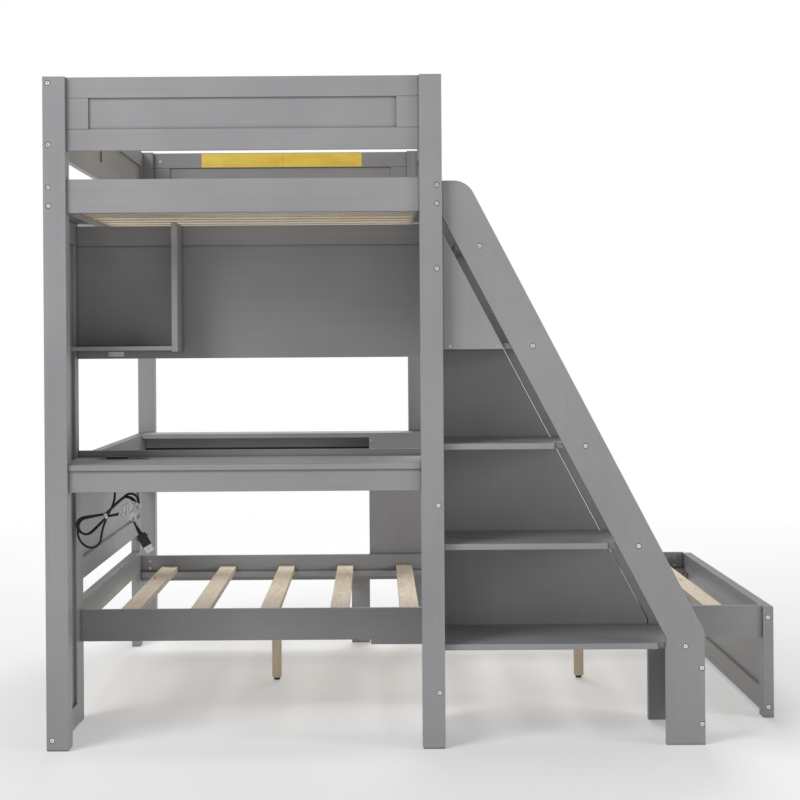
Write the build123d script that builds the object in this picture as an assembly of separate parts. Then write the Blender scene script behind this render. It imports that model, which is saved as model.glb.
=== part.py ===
"""Loft bed with a desk, a shelf-ladder tower and a full-size lower bed set crosswise.

Drawing axes (mm): X runs to the right from the upper bed's left face, Y runs back from the
front face of the front posts and Z runs up from the floor. `to_row_frame` moves every part so
that the origin sits on the floor under the middle of the whole object.
"""
import os
from math import cos, radians, sin, tan

from build123d import *

os.makedirs("parts", exist_ok=True)

# ---------------------------------------------------------------- overall size
WIDTH = 2022.0          # left post face to the footboard's outer face
DEPTH = 2030.0          # front post face to back post face
HEIGHT = 1800.0
UPPER_W = 1064.0        # outer width of the upper (twin) bed
POST = 60.0             # square section of the four posts
POST_CHAMFER = 3.0      # eased edge round each post's foot

# ---------------------------------------------------------------- upper bed
RAIL_Z = (1436.0, 1526.0)
SIDE_RAIL_X = (2.0, 26.0)           # left rail; the right one is its mirror
END_RAIL_Y = (12.0, 37.0)           # front rail; the back one is its mirror
GUARD_Z = (1603.0, 1799.0)
GUARD_TOP_H = 55.0
GUARD_BOTTOM_H = 57.0
GUARD_STILE = 60.0
SIDE_GUARD_X = (5.0, 23.0)
END_GUARD_Y = (14.0, 34.0)
GUARD_PANEL = 8.0                   # thickness of the sunk panel inside a guard
JOINT_GAP = 0.8                     # hairline at a butt joint, and how deep it goes
JOINT_DEPTH = 5.0
LABELS_X = ((239.0, 542.5), (543.5, 836.0))
ENTRANCE_END_Y = 470.0              # the right guard starts behind the way in from the ladder
CENTRE_STILE_Y = (930.0, 990.0)
CLEAT_Z = (1430.0, 1448.0)
CLEAT_W = 44.0
UPPER_SLATS = 18
UPPER_SLAT = (1008.0, 65.0, 16.0)   # length, width, thickness
UPPER_SLAT_Y = (100.0, 1930.0)      # centres of the first and last slat

# ---------------------------------------------------------------- side panels, hutch, desk
SIDE_T = 30.0                       # thickness of the framed side panels and bed ends
SIDE_PANEL_Y = (60.0, 390.0)
SIDE_PANEL_Z = (4.0, 1430.0)
FRAME_BAR = 60.0                    # width of the stiles and rails of a framed board
INSET_T = 12.0                      # thickness of the sunk panel inside a framed board
SHELF_T = 16.0
HUTCH_Y = (374.0, 386.0)
HUTCH_Z = (1044.0, 1367.0)
HUTCH_RAIL_Y = (368.0, 390.0)
HUTCH_RAIL_Z = (1367.0, 1423.0)
CUBBY_FRONT_Y = 230.0
CUBBY_FLOOR_Z = (1067.0, 1079.0)
CUBBY_DIVIDER_X = (316.0, 332.0)
BRACKET_X = (119.0, 163.0)          # small steel plate under the cubby's floor
BRACKET_Z = (1050.0, 1064.0)
BRACKET_T = 2.0
DESK_Z = (747.0, 762.0)
DESK_FRONT_Y = 8.0
DESK_BACK_Y = 390.0
DESK_LIP_Z = 781.0
APRON_Y = (14.0, 32.0)
APRON_Z = (689.0, 747.0)
DESK_CLEAT = (20.0, 27.0)           # width and height of the battens under the desk

# ---------------------------------------------------------------- power unit and its cord
UNIT_X = (103.0, 242.0)
UNIT_Y = (268.0, 318.0)
UNIT_RIM = 7.0                      # how far the bezel laps over the cut-out
UNIT_BEZEL_T = 2.2
UNIT_SEAT = 1.0                     # depth of the rebate that the bezel sits in
UNIT_SEAT_GAP = 0.4
UNIT_BLOCK_X = (124.0, 182.0)
UNIT_BLOCK_H = 6.0
UNIT_BOTTOM_Z = 715.0
UNIT_SOCKET_X = 212.0
CORD_D = 6.5
CORD_Y = 293.0
CORD_RELIEF = ((145.0, CORD_Y, 715.0), (145.0, CORD_Y, 694.0))
CORD_DROP = (
    (145.0, CORD_Y, 694.0),
    (145.0, CORD_Y, 668.0),
    (143.0, 324.0, 640.0),
    (117.0, 325.0, 598.0),
    (102.0, 324.0, 506.0),
    (43.0, 320.0, 505.0),
    (37.0, 301.0, 558.5),
)
HANK_CENTRE = (121.0, CORD_Y, 603.0)
HANK_TILT = 25.0                    # degrees, right end up
HANK_LOBES = ((-68.0, 0.0, 24.0), (76.0, 4.0, 26.0))    # end loops: centre and outline radius
HANK_WAIST_R = 11.0                 # outline where the tie draws the turns together
HANK_DEPTH = 21.0
TIE_W = 8.0
TIE_GAP = 1.4                       # between the waist's outline and the tie
TIE_T = 1.4
CORD_TAIL = ((190.0, CORD_Y, 607.5), (193.0, CORD_Y, 592.0), (205.0, CORD_Y, 571.2))
PLUG_ANGLE = -60.0                  # the plug hangs this many degrees below level
PLUG_RELIEF_L = 25.0
PLUG_BODY = (38.0, 26.0, 18.0)      # length, width, depth
PLUG_GRIP = (5.0, 32.0, 20.0)       # the cross bar the fingers pull on
PRONG = (16.0, 6.3, 1.5)
PRONG_PITCH = 12.7
EARTH_PIN_D = 4.8
PLUG_CAP = (19.0, 23.0, 18.0)       # length, width, depth of the clear cover over the prongs
PLUG_CAP_WALL = 0.8
TAG = (51.0, 53.0, 0.6)
TAG_PLACE = (70.0, -16.0, -49.0)    # along and across the hank, and the film's turn in degrees

# ---------------------------------------------------------------- ladder tower
STRINGER_T = 25.0
STRINGER_FRONT_Y = 30.0
STRINGER_REAR_Y = 372.0
STRINGER_TOP_Z = 1518.0
STRINGER_TOP_X = 1132.0
STRINGER_TOP_R = 60.0
STRINGER_KNEE_OUT = (1762.0, 304.0)
STRINGER_KNEE_IN = (1659.0, 288.0)
STRINGER_POST_Z = 1425.0            # where the inner edge meets the post
STEP_COUNT = 5
FULL_SHELVES = 4
STEP_FIRST_Z = 264.5                # centre height of the lowest board
STEP_RISE = 269.5
SHELF_FRONT_Y = 37.0                # shelf edge between the post and the stringer
SHELF_NOTCH = 22.0                  # clear gap from that edge to the stringer
TREAD_X0 = 1100.0
REAR_PANEL_Y = (372.0, 390.0)
REAR_PANEL_GAP = 2.5
REAR_PANEL_Z0 = 256.0
INFILL_Y = (37.0, 55.0)
INFILL_Z0 = 1065.0
FOOT_BOARD_Z = (30.0, 230.0)

# ---------------------------------------------------------------- lower bed
LOWER_Y = (390.0, 1810.0)
LEG_D = 60.0                        # depth of the legs of head and footboard
HEAD_Z = 757.0
HEAD_PANEL_Z = 406.0
HEAD_RAIL_Z = (266.0, 340.0)
FOOT_Z = 318.0
FOOT_PANEL_Z = 16.0
FOOT_BOTTOM_Z = 80.0
LOWER_RAIL_Z = (231.0, 321.0)
LOWER_RAIL_T = 20.0
LOWER_FRONT_RAIL_Y = 398.0          # just behind the tower's rear stringer
LOWER_CLEAT_Z = (245.0, 265.0)
LOWER_CLEAT_W = 25.0
LOWER_SLAT_W = 57.0
LOWER_SLAT_T = 18.0
SLATS_NEAR = (135.0, 211.5, 5)      # first centre, pitch and count on the desk side
SLATS_FAR = (1165.0, 184.0, 5)      # the same beyond the tower
CENTRE_LEG = 30.0
CENTRE_LEG_X = (558.0, 1533.0)
CENTRE_LEG_Y = 1065.0
LEG_CAP_D = 20.0
LEG_CAP_H = 8.0

# ---------------------------------------------------------------- shelf unit at the back
BACK_Y = (1812.0, 1970.0)
BACK_TOP_Z = (744.0, 760.0)
BACK_RAIL_Z = 704.0
BACK_RAIL_Y = (1936.0, 1952.0)
BACK_PANEL_Y = (1952.0, 1958.0)
BACK_FLOOR_Z = (584.0, 600.0)
FACE_BOARD_X0 = 857.0
FACE_BOARD_Z0 = 240.0
FACE_BOARD_T = 16.0
TRIM_STRIP_H = 10.0
BACK_FOOT = (791.0, 857.0, 1810.0, 1828.0, 0.0, 305.0)
LEDGER = (865.0, 1034.0, 398.0, 418.0, 217.0, 231.0)

# ---------------------------------------------------------------- fasteners
BOLT_HEAD_R = 6.25
BOLT_HEAD_T = 3.0
BOLT_R = 3.0
BOLT_HOLE_R = 3.3
SINK_R = 7.3
SINK_DEPTH = 3.2
SOCKET_R = 2.3
NUT_R = 5.0
NUT_BACK = 8.0                      # length of a barrel nut behind the bolt's axis
NUT_SET = 0.5                       # how far a nut sits below the face
SCREW_HEAD_R = 4.0
SCREW_HEAD_T = 2.4
SCREW_R = 2.0
SCREW_HOLE_R = 2.1
FIT = 0.2                           # clearance round drilled-in hardware

STANDING = (Align.CENTER, Align.CENTER, Align.MIN)      # a shape that starts at its place and rises

nodes = {}
wooden = []                         # nodes that take bolt and screw holes


def board(x0, x1, y0, y1, z0, z1):
    """A rectangular board between two corners."""
    middle = Pos((x0 + x1) / 2, (y0 + y1) / 2, (z0 + z1) / 2)
    return middle * Box(x1 - x0, y1 - y0, z1 - z0)


def plate_xz(points, y0, y1):
    """A flat board whose outline is drawn in the XZ plane."""
    outline = make_face(Polyline(*[(x, 0, z) for x, z in points], close=True))
    return Pos(0, y0, 0) * extrude(outline, amount=y1 - y0, dir=(0, 1, 0))


def wood(name, *solids):
    """Register a wooden node."""
    nodes[name] = list(solids)
    wooden.append(name)


def mirror_x(span):
    """The mirror of an X span about the upper bed's middle."""
    return UPPER_W - span[1], UPPER_W - span[0]


def mirror_y(span):
    """The mirror of a Y span about the middle of the depth."""
    return DEPTH - span[1], DEPTH - span[0]


# ---------------------------------------------------------------- framed boards
def frame_along_y(x, y, z, bars, inset, centre=None):
    """Stiles, rails and sunk panels of a framed board that runs along Y.

    bars is (stile width, top rail height, bottom rail height); centre is a middle stile's span.
    """
    stile, top, bottom = bars
    solids = [board(*x, y[0], y[0] + stile, *z), board(*x, y[1] - stile, y[1], *z)]
    fields = [(y[0] + stile, y[1] - stile)]
    if centre:
        solids.append(board(*x, *centre, *z))
        fields = [(y[0] + stile, centre[0]), (centre[1], y[1] - stile)]
    middle = (x[0] + x[1]) / 2
    skin = (middle - inset / 2, middle + inset / 2)
    for start, end in fields:
        solids.append(board(*x, start, end, z[1] - top, z[1]))
        solids.append(board(*x, start, end, z[0], z[0] + bottom))
        solids.append(board(*skin, start, end, z[0] + bottom, z[1] - top))
    return solids


def short_stile(x, y, z):
    """An upright between two rails; its faces stop a hairline short of them, so the joint shows."""
    core = board(*x, y[0] + JOINT_DEPTH, y[1] - JOINT_DEPTH, *z)
    return core + board(*x, *y, z[0] + JOINT_GAP, z[1] - JOINT_GAP)


def frame_along_x(x, y, z, bars, inset):
    """A framed board that runs along X, with its rails full length and the stiles between them."""
    stile, top, bottom = bars
    middle = (y[0] + y[1]) / 2
    skin = (middle - inset / 2, middle + inset / 2)
    field = (z[0] + bottom, z[1] - top)
    return [
        board(*x, *y, field[1], z[1]),
        board(*x, *y, z[0], field[0]),
        short_stile((x[0], x[0] + stile), y, field),
        short_stile((x[1] - stile, x[1]), y, field),
        board(x[0] + stile, x[1] - stile, *skin, *field),
    ]


# ---------------------------------------------------------------- upper bed
def posts():
    """Four square posts, eased round the foot."""
    for side, x in (("left", 0.0), ("right", UPPER_W - POST)):
        for end, y in (("front", 0.0), ("back", DEPTH - POST)):
            post = board(x, x + POST, y, y + POST, 0, HEIGHT)
            foot = post.faces().sort_by(Axis.Z)[0].edges()
            wood(f"{end}_{side}_post", chamfer(foot, POST_CHAMFER))


def upper_frame():
    """Side rails, end rails, slat cleats and slats of the upper bed."""
    between_posts_x = (POST, UPPER_W - POST)
    between_posts_y = (POST, DEPTH - POST)
    wood("upper_front_rail", board(*between_posts_x, *END_RAIL_Y, *RAIL_Z))
    wood("upper_back_rail", board(*between_posts_x, *mirror_y(END_RAIL_Y), *RAIL_Z))
    wood("upper_left_rail", board(*SIDE_RAIL_X, *between_posts_y, *RAIL_Z))
    wood("upper_right_rail", board(*mirror_x(SIDE_RAIL_X), *between_posts_y, *RAIL_Z))
    cleat_x = (SIDE_RAIL_X[1], SIDE_RAIL_X[1] + CLEAT_W)
    wood("upper_cleats", *[board(*x, *between_posts_y, *CLEAT_Z) for x in (cleat_x, mirror_x(cleat_x))])
    length, width, thick = UPPER_SLAT
    slats = []
    for y in upper_slat_centres():
        slats.append(Pos(UPPER_W / 2, y, CLEAT_Z[1] + thick / 2) * Box(length, width, thick))
    wood("upper_slats", *slats)


def upper_slat_centres():
    """Evenly spaced slat centres along the upper bed."""
    first, last = UPPER_SLAT_Y
    pitch = (last - first) / (UPPER_SLATS - 1)
    return [first + pitch * i for i in range(UPPER_SLATS)]


def guards():
    """Guard rails on all four sides; the right one leaves the way in from the ladder open."""
    bars = (GUARD_STILE, GUARD_TOP_H, GUARD_BOTTOM_H)
    across = (POST, UPPER_W - POST)
    along = (POST, DEPTH - POST)
    wood("front_guard", *frame_along_x(across, END_GUARD_Y, GUARD_Z, bars, GUARD_PANEL))
    wood("back_guard", *frame_along_x(across, mirror_y(END_GUARD_Y), GUARD_Z, bars, GUARD_PANEL))
    wood("left_guard", *frame_along_y(SIDE_GUARD_X, along, GUARD_Z, bars, GUARD_PANEL, CENTRE_STILE_Y))
    right_x = mirror_x(SIDE_GUARD_X)
    right = frame_along_y(right_x, (ENTRANCE_END_Y, along[1]), GUARD_Z, bars, GUARD_PANEL)
    leg = board(*right_x, ENTRANCE_END_Y, ENTRANCE_END_Y + GUARD_STILE, RAIL_Z[1], GUARD_Z[0])
    wood("right_guard", *right, leg)
    label_y = mirror_y(END_GUARD_Y)[0]
    labels = []
    label_z = (GUARD_Z[1] - GUARD_TOP_H + 2, GUARD_Z[1] - 2)
    for x in LABELS_X:
        labels.append(board(*x, label_y - 0.3, label_y, *label_z))
    nodes["guard_labels"] = labels


# ---------------------------------------------------------------- desk side
def side_panels():
    """Framed panels that close the desk's two ends."""
    bars = (FRAME_BAR, FRAME_BAR, FRAME_BAR)
    left = (0.0, SIDE_T)
    wood("left_side_panel", *frame_along_y(left, SIDE_PANEL_Y, SIDE_PANEL_Z, bars, INSET_T))
    wood("right_side_panel", *frame_along_y(mirror_x(left), SIDE_PANEL_Y, SIDE_PANEL_Z, bars, INSET_T))


def hutch():
    """Back panel with its proud top rail, and the open cubby at the left."""
    inner = (SIDE_T, UPPER_W - SIDE_T)
    wood("hutch_back", board(*inner, *HUTCH_Y, *HUTCH_Z), board(*inner, *HUTCH_RAIL_Y, *HUTCH_RAIL_Z))
    floor = board(SIDE_T, CUBBY_DIVIDER_X[0], CUBBY_FRONT_Y, HUTCH_Y[0], *CUBBY_FLOOR_Z)
    wood("cubby_floor", floor)
    lower = board(*CUBBY_DIVIDER_X, CUBBY_FRONT_Y, HUTCH_Y[0], CUBBY_FLOOR_Z[0] - 4, HUTCH_Z[1])
    upper = board(*CUBBY_DIVIDER_X, CUBBY_FRONT_Y, HUTCH_RAIL_Y[0], HUTCH_Z[1], HUTCH_RAIL_Z[1])
    wood("cubby_divider", lower + upper)
    plate_y = (HUTCH_Y[0] - BRACKET_T, HUTCH_Y[0])
    plate = board(*BRACKET_X, *plate_y, *BRACKET_Z)
    nodes["hutch_bracket"] = [chamfer(plate.edges().filter_by(Axis.Y), 1.5)]
    wooden.append("hutch_bracket")      # so that its screw holes are cut


def desk():
    """Desk top notched round the posts, with apron, back lip and battens."""
    inner = (SIDE_T, UPPER_W - SIDE_T)
    top = board(POST, UPPER_W - POST, DESK_FRONT_Y, POST, *DESK_Z)
    top += board(*inner, POST, DESK_BACK_Y - SHELF_T, *DESK_Z)
    hole_x = (UNIT_X[0] + UNIT_RIM, UNIT_X[1] - UNIT_RIM)
    hole_y = (UNIT_Y[0] + UNIT_RIM, UNIT_Y[1] - UNIT_RIM)
    top -= board(*hole_x, *hole_y, DESK_Z[0] - 1, DESK_Z[1] + 1)
    seat_x = (UNIT_X[0] - UNIT_SEAT_GAP, UNIT_X[1] + UNIT_SEAT_GAP)
    seat_y = (UNIT_Y[0] - UNIT_SEAT_GAP, UNIT_Y[1] + UNIT_SEAT_GAP)
    top -= board(*seat_x, *seat_y, DESK_Z[1] - UNIT_SEAT, DESK_Z[1] + 1)
    lip = board(*inner, DESK_BACK_Y - SHELF_T, DESK_BACK_Y, DESK_Z[0], DESK_LIP_Z)
    wood("desk_top", top, lip)
    wood("desk_apron", board(POST, UPPER_W - POST, *APRON_Y, *APRON_Z))
    width, height = DESK_CLEAT
    left = (SIDE_T, SIDE_T + width)
    battens = [board(*x, 64, 380, DESK_Z[0] - height, DESK_Z[0]) for x in (left, mirror_x(left))]
    wood("desk_cleats", *battens)


def power_unit():
    """Outlet unit let into the desk: a bezel, a raised charging block and one socket."""
    x0, x1 = UNIT_X[0] + UNIT_RIM + 0.5, UNIT_X[1] - UNIT_RIM - 0.5
    y0, y1 = UNIT_Y[0] + UNIT_RIM + 0.5, UNIT_Y[1] - UNIT_RIM - 0.5
    seat = DESK_Z[1] - UNIT_SEAT
    top = seat + UNIT_BEZEL_T
    block_y = (y0 + 2, y1 - 2)
    body = board(x0, x1, y0, y1, UNIT_BOTTOM_Z, seat)
    body += board(*UNIT_X, *UNIT_Y, seat, top)
    body += board(*UNIT_BLOCK_X, *block_y, top, DESK_Z[1] + UNIT_BLOCK_H)
    middle_y = (UNIT_Y[0] + UNIT_Y[1]) / 2
    socket_floor = Pos(UNIT_SOCKET_X, middle_y, top - 6)
    body -= socket_floor * Cylinder(15, 12, align=STANDING)
    block_middle = (UNIT_BLOCK_X[0] + UNIT_BLOCK_X[1]) / 2
    for offset in (-13.0, 13.0):
        x = block_middle + offset
        body -= board(x - 6.5, x + 6.5, middle_y - 2.5, middle_y + 2.5, top - 8, top + 10)
    face = socket_floor * Cylinder(14.8, 3, align=STANDING)
    for offset in (-PRONG_PITCH / 2, PRONG_PITCH / 2):
        x = UNIT_SOCKET_X + offset
        face -= board(x - 1.2, x + 1.2, middle_y - 3.8, middle_y + 3.8, top - 7, top)
    face -= Pos(UNIT_SOCKET_X, middle_y - 8, top - 5) * Cylinder(2.6, 6)
    nodes["power_unit"] = [body, face]


# ---------------------------------------------------------------- cord
def bend_radii(points):
    """The radius of each bend: as large as the two runs beside it allow."""
    radii = []
    for before, corner, after in zip(points, points[1:], points[2:]):
        arriving = Vector(*corner) - Vector(*before)
        leaving = Vector(*after) - Vector(*corner)
        half_turn = radians(arriving.get_angle(leaving) / 2)
        radii.append(0.45 * min(arriving.length, leaving.length) / tan(half_turn))
    return radii


def cord_tube(name, points):
    """A round cord swept along straight runs joined by tangent arcs."""
    radii = bend_radii(points)
    path = FilletPolyline(*points, radius=radii)
    heading = Vector(*points[1]) - Vector(*points[0])
    section = Plane(origin=points[0], z_dir=heading) * Circle(CORD_D / 2)
    print(name, "length", round(path.length), "radii", [round(r) for r in radii])
    return sweep(section, path=path)


def taper(start, end, r0, r1):
    """A cone frustum between two points."""
    axis = Vector(*end) - Vector(*start)
    plane = Plane(origin=start, z_dir=axis)
    return plane.location * Cone(r0, r1, axis.length, align=STANDING)


def slanted(centre, tilt):
    """Local axes at a point: local X runs along the tilt in the XZ plane, local Z runs to the front."""
    direction = (cos(radians(tilt)), 0, sin(radians(tilt)))
    return Plane(origin=centre, x_dir=direction, z_dir=(0, -1, 0))


def cord():
    """Relief, drop, tied hank and tail of the power unit's cord."""
    start, end = CORD_RELIEF
    nodes["cord_relief"] = [taper(start, end, 6.5, CORD_D / 2 + 0.6)]
    nodes["cord_drop"] = [cord_tube("cord_drop", CORD_DROP)]
    place = slanted(HANK_CENTRE, HANK_TILT).location
    waist = Circle(HANK_WAIST_R).edges()
    outline = Sketch()
    for along, across, radius in HANK_LOBES:
        end_loop = Pos(along, across) * Circle(radius)
        outline += make_hull(waist + end_loop.edges())
    nodes["cord_hank"] = [place * extrude(outline, amount=HANK_DEPTH / 2, both=True)]
    inside = (2 * (HANK_WAIST_R + TIE_GAP), HANK_DEPTH + 0.8)
    tie = Box(TIE_W, inside[0] + 2 * TIE_T, inside[1] + 2 * TIE_T) - Box(TIE_W + 2, *inside)
    nodes["cord_tie"] = [place * tie]
    nodes["cord_tail"] = [cord_tube("cord_tail", CORD_TAIL)]
    along, across, turn = TAG_PLACE
    film = place * Pos(along, across, HANK_DEPTH / 2 + 2) * Rot(0, 0, turn) * Box(*TAG)
    nodes["cord_tag"] = [film]


def plug():
    """Moulded three-prong plug at the cord's end, with its strain relief."""
    heading = Vector(cos(radians(PLUG_ANGLE)), 0, sin(radians(PLUG_ANGLE)))
    rear = Vector(*CORD_TAIL[-1])
    length, width, depth = PLUG_BODY
    collar = rear + heading * PLUG_RELIEF_L
    relief = taper(tuple(rear), tuple(collar), CORD_D / 2 + 0.6, 6.5)
    place = slanted(tuple(collar), PLUG_ANGLE).location
    lower = (Align.MIN, Align.CENTER, Align.CENTER)
    body = Box(length, width, depth, align=lower)
    body = fillet(body.edges().filter_by(Axis.X), 5)
    grip_l, grip_w, grip_d = PLUG_GRIP
    bar = Pos(8, 0, 0) * Box(grip_l, grip_w, grip_d, align=lower)
    nodes["plug_body"] = [relief, place * (body + bar)]
    blade_l, blade_w, blade_t = PRONG
    prongs = []
    for side in (-1, 1):
        blade = Pos(length, side * PRONG_PITCH / 2, 2) * Box(blade_l, blade_t, blade_w, align=lower)
        prongs.append(place * blade)
    pin = Cylinder(EARTH_PIN_D / 2, blade_l + 2, align=STANDING)
    prongs.append(place * Pos(length, 0, -5) * Rot(0, 90, 0) * pin)
    nodes["plug_prongs"] = prongs
    cap_l, cap_w, cap_d = PLUG_CAP
    hollow = (cap_l - PLUG_CAP_WALL, cap_w - 2 * PLUG_CAP_WALL, cap_d - 2 * PLUG_CAP_WALL)
    cap = Box(cap_l, cap_w, cap_d, align=lower) - Box(*hollow, align=lower)
    nodes["plug_cap"] = [place * Pos(length, 0, 0) * cap]


# ---------------------------------------------------------------- ladder tower
def inner_edge_x(z):
    """The stringer's inner edge at a height."""
    x, knee = STRINGER_KNEE_IN
    if z <= knee:
        return x
    return x - (z - knee) * (x - UPPER_W) / (STRINGER_POST_Z - knee)


def outer_edge_x(z):
    """The stringer's outer edge at a height."""
    x, knee = STRINGER_KNEE_OUT
    if z <= knee:
        return x
    return x - (z - knee) * (x - STRINGER_TOP_X) / (STRINGER_TOP_Z - knee)


def step_z(i):
    """Centre height of a step board."""
    return STEP_FIRST_Z + STEP_RISE * i


def stringer(y0):
    """One bent stringer board with a rounded top corner."""
    solid = plate_xz(
        [
            (UPPER_W, STRINGER_TOP_Z),
            (STRINGER_TOP_X, STRINGER_TOP_Z),
            STRINGER_KNEE_OUT,
            (STRINGER_KNEE_OUT[0], 0),
            (STRINGER_KNEE_IN[0], 0),
            STRINGER_KNEE_IN,
            (UPPER_W, STRINGER_POST_Z),
        ],
        y0,
        y0 + STRINGER_T,
    )
    crosswise = solid.edges().filter_by(Axis.Y)
    corner = crosswise.sort_by_distance((STRINGER_TOP_X, y0, STRINGER_TOP_Z))[0]
    return fillet(corner, STRINGER_TOP_R)


def step_board(i):
    """A full shelf reaching forward beside the post, or the narrow top tread."""
    z = (step_z(i) - SHELF_T / 2, step_z(i) + SHELF_T / 2)
    end = outer_edge_x(z[1]) - 2
    back = STRINGER_FRONT_Y + STRINGER_T
    if i >= FULL_SHELVES:
        return board(TREAD_X0, end, back, STRINGER_REAR_Y, *z)
    solid = board(UPPER_W, end, back, STRINGER_REAR_Y, *z)
    if z[1] < INFILL_Z0:
        front_end = inner_edge_x(z[1]) - SHELF_NOTCH
        solid += board(UPPER_W, front_end, SHELF_FRONT_Y, back, *z)
    return solid


def tower():
    """Stringers, step shelves and the panels that close the tower's back and upper front."""
    wood("front_stringer", stringer(STRINGER_FRONT_Y))
    wood("rear_stringer", stringer(STRINGER_REAR_Y))
    wood("step_shelves", *[step_board(i) for i in range(FULL_SHELVES)])
    wood("top_tread", step_board(STEP_COUNT - 1))
    knee_x, knee_z = STRINGER_KNEE_IN
    top = STRINGER_POST_Z - REAR_PANEL_GAP * 4
    wood("tower_rear_panel", plate_xz(
        [
            (UPPER_W, REAR_PANEL_Z0),
            (knee_x - REAR_PANEL_GAP, REAR_PANEL_Z0),
            (knee_x - REAR_PANEL_GAP, knee_z),
            (inner_edge_x(top) - REAR_PANEL_GAP, top),
            (UPPER_W, top),
        ],
        *REAR_PANEL_Y,
    ))
    infill_top = STRINGER_POST_Z - SHELF_NOTCH / 0.5
    wood("tower_front_panel", plate_xz(
        [
            (UPPER_W, INFILL_Z0),
            (inner_edge_x(INFILL_Z0) - SHELF_NOTCH, INFILL_Z0),
            (inner_edge_x(infill_top) - SHELF_NOTCH, infill_top),
            (UPPER_W, infill_top),
        ],
        *INFILL_Y,
    ))
    knee_out = STRINGER_KNEE_OUT[0]
    wood("ladder_foot_board", board(
        knee_out - SHELF_T, knee_out, STRINGER_FRONT_Y + STRINGER_T, STRINGER_REAR_Y, *FOOT_BOARD_Z))


# ---------------------------------------------------------------- lower bed
def lower_slat_centres():
    """Slat centres: wide spacing under the loft, closer beyond it."""
    centres = []
    for first, pitch, count in (SLATS_NEAR, SLATS_FAR):
        centres += [first + pitch * i for i in range(count)]
    return centres


def bed_ends():
    """Headboard with an open gap under its panel, and the low framed footboard."""
    head_x = (0.0, SIDE_T)
    inner = (LOWER_Y[0] + LEG_D, LOWER_Y[1] - LEG_D)
    skin = (SIDE_T / 2 - INSET_T / 2, SIDE_T / 2 + INSET_T / 2)
    wood(
        "headboard",
        board(*head_x, LOWER_Y[0], inner[0], 0, HEAD_Z),
        board(*head_x, inner[1], LOWER_Y[1], 0, HEAD_Z),
        board(*head_x, *inner, HEAD_Z - FRAME_BAR, HEAD_Z),
        board(*head_x, *inner, HEAD_PANEL_Z, HEAD_PANEL_Z + FRAME_BAR),
        board(*skin, *inner, HEAD_PANEL_Z + FRAME_BAR, HEAD_Z - FRAME_BAR),
        board(*head_x, *inner, *HEAD_RAIL_Z),
    )
    foot_x = (WIDTH - SIDE_T, WIDTH)
    foot_skin = (WIDTH - skin[1], WIDTH - skin[0])
    wood(
        "footboard",
        board(*foot_x, LOWER_Y[0], inner[0], 0, FOOT_Z),
        board(*foot_x, inner[1], LOWER_Y[1], 0, FOOT_Z),
        board(*foot_x, *inner, FOOT_Z - FRAME_BAR, FOOT_Z),
        board(*foot_x, *inner, FOOT_PANEL_Z, FOOT_BOTTOM_Z),
        board(*foot_skin, *inner, FOOT_BOTTOM_Z, FOOT_Z - FRAME_BAR),
    )


def front_rail_y():
    """The lower bed's front rail span in Y."""
    return LOWER_FRONT_RAIL_Y, LOWER_FRONT_RAIL_Y + LOWER_RAIL_T


def back_rail_y():
    """The lower bed's back rail span in Y."""
    return LOWER_Y[1] - LOWER_RAIL_T, LOWER_Y[1]


def lower_bed():
    """Rails, cleats, slats and centre legs of the lower bed."""
    between = (SIDE_T, WIDTH - SIDE_T)
    front, back = front_rail_y(), back_rail_y()
    wood("lower_front_rail", board(*between, *front, *LOWER_RAIL_Z))
    wood("lower_back_rail", board(*between, *back, *LOWER_RAIL_Z))
    wood(
        "lower_cleats",
        board(*between, front[1], front[1] + LOWER_CLEAT_W, *LOWER_CLEAT_Z),
        board(*between, back[0] - LOWER_CLEAT_W, back[0], *LOWER_CLEAT_Z),
    )
    half = LOWER_SLAT_W / 2
    slat_z = (LOWER_CLEAT_Z[1], LOWER_CLEAT_Z[1] + LOWER_SLAT_T)
    wood("lower_slats", *[
        board(x - half, x + half, front[1] + 1, back[0] - 1, *slat_z) for x in lower_slat_centres()])
    half = CENTRE_LEG / 2
    legs = []
    caps = []
    y_span = (CENTRE_LEG_Y - half, CENTRE_LEG_Y + half)
    for x in CENTRE_LEG_X:
        leg = board(x - half, x + half, *y_span, LEG_CAP_H, LOWER_CLEAT_Z[1])
        leg = fillet(leg.edges().filter_by(Axis.Z), 6)
        legs.append(chamfer(leg.faces().sort_by(Axis.Z)[0].edges(), 2))
        cap = Pos(x, CENTRE_LEG_Y, 0) * Cylinder(LEG_CAP_D / 2, LEG_CAP_H, align=STANDING)
        caps.append(chamfer(cap.faces().sort_by(Axis.Z)[0].edges(), 1.5))
    wood("centre_legs", *legs)
    nodes["leg_caps"] = caps


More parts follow.
